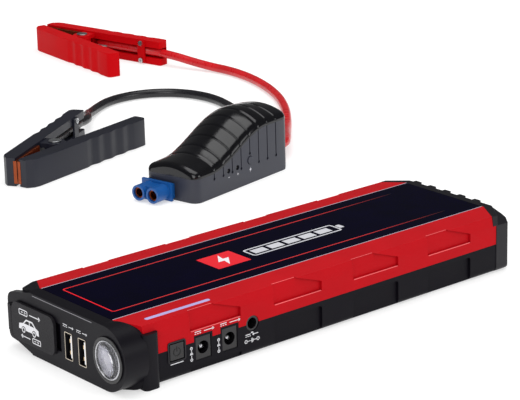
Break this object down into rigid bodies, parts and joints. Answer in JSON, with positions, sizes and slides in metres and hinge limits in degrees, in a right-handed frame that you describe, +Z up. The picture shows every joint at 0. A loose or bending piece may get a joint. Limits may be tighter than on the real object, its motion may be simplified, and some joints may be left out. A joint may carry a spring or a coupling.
{
  "type": "jump starter pack",
  "caption": "Flat red and black lithium jump starter pack with side and end ports, torch and grip recesses, lying beside its jumper cable set: a control module, two cords and two clamps.",
  "frame": {"origin": "centre of the pack's flat bottom face", "axes": "+X towards the pack's rear end, +Y away from the side with the power button, +Z up"},
  "size_m": [0.3981, 0.5729, 0.0409],
  "materials": {
    "red_shell": "satin moulded plastic",
    "black_shell": "matte moulded plastic",
    "panel": "gloss acrylic with a printed frame line",
    "rubber": "matte rubber",
    "blue_plug": "satin nylon",
    "gold_contact": "bright plated",
    "bright_steel": "bright plated",
    "white_plastic": "satin",
    "bezel_black": "satin",
    "reflector": "metallised",
    "lens": "clear",
    "led": "phosphor",
    "light_guide": "frosted",
    "circuit_board": "solder mask",
    "cell_foil": "laminated foil",
    "foam": "foam",
    "copper": "bare copper plate",
    "lead_sleeve": "silicone",
    "module_shell": "fine texture",
    "module_top": "gloss",
    "red_sheath": "satin silicone",
    "black_sheath": "satin silicone",
    "red_clamp": "satin",
    "black_clamp": "satin",
    "zinc_steel": "zinc plated"
  },
  "bodies": {
    "pack": {"lower_housing": "black_shell", "upper_housing": "red_shell", "top_panel": "panel", "front_end_cap": "black_shell", "rear_end_cap": "black_shell", "cover_anchor": "rubber", "jumper_socket": "blue_plug", "socket_pins": "gold_contact", "usb_shells": "bright_steel", "usb_tongues": "white_plastic", "torch_bezel": "bezel_black", "torch_reflector": "reflector", "torch_lens": "lens", "torch_led": "led", "status_light_bar": "light_guide", "status_leds": "led", "button_switch": "bright_steel", "dc_output_jacks": "bezel_black", "dc_jack_pins": "bright_steel", "charge_input_jack": "bezel_black", "main_circuit_board": "circuit_board", "battery_cells": "cell_foil", "cell_pads": "foam", "cell_busbars": "copper", "power_leads": "lead_sleeve", "housing_screws": "bright_steel"},
    "port_cover": {"port_cover": "rubber"},
    "power_button": {"power_button": "black_shell"},
    "cable_set": {"module_case": "module_shell", "module_lid": "module_top", "module_circuit_board": "circuit_board", "module_relay": "bezel_black", "module_leds": "led", "boost_switch": "bright_steel", "plug_housing": "blue_plug", "plug_contacts": "gold_contact", "cord_grommets": "rubber", "module_screws": "bright_steel", "red_cord": "red_sheath", "black_cord": "black_sheath", "red_fixed_handle": "red_clamp", "red_fixed_jaw": "copper", "red_pivot_pin": "zinc_steel", "red_lead_end": "red_sheath", "red_cord_bracket": "red_clamp", "red_bracket_screws": "zinc_steel", "red_spring": "zinc_steel", "black_fixed_handle": "black_clamp", "black_fixed_jaw": "copper", "black_pivot_pin": "zinc_steel", "black_lead_end": "black_sheath", "black_cord_bracket": "black_clamp", "black_bracket_screws": "zinc_steel", "black_spring": "zinc_steel"},
    "boost_button": {"boost_button": "bezel_black"},
    "red_clamp_lever": {"red_moving_handle": "red_clamp", "red_moving_jaw": "copper"},
    "black_clamp_lever": {"black_moving_handle": "black_clamp", "black_moving_jaw": "copper"}
  },
  "joints": [
    {"name": "port_cover_hinge", "type": "hinge", "parent": "pack", "child": "port_cover", "pos_m": [-0.1249, 0.0414, 0.015], "axis": [0, 0, -1], "range_deg": [0, 115], "stiffness_Nm_per_rad": 0.002},
    {"name": "power_button_press", "type": "slide", "parent": "pack", "child": "power_button", "axis": [0, 1, 0], "range_m": [0, 0.0008], "stiffness_N_per_m": 400, "springref_m": -0.002},
    {"name": "cable_set_lift", "type": "slide", "parent": "pack", "child": "cable_set", "axis": [0, 0, 1], "range_m": [0, 0.06]},
    {"name": "boost_button_press", "type": "slide", "parent": "cable_set", "child": "boost_button", "axis": [-0.2079, 0.9781, 0], "range_m": [0, 0.0008], "stiffness_N_per_m": 400, "springref_m": -0.002},
    {"name": "red_clamp_hinge", "type": "hinge", "parent": "cable_set", "child": "red_clamp_lever", "pos_m": [0.229, 0.483, 0.0085], "axis": [0, 0, 1], "range_deg": [0, 26], "stiffness_Nm_per_rad": 0.6, "springref_deg": -20.05, "deforming": ["red_spring"]},
    {"name": "black_clamp_hinge", "type": "hinge", "parent": "cable_set", "child": "black_clamp_lever", "pos_m": [0.057, 0.269, 0.0085], "axis": [0, 0, 1], "range_deg": [0, 26], "stiffness_Nm_per_rad": 0.6, "springref_deg": -20.05, "deforming": ["black_spring"]}
  ]
}
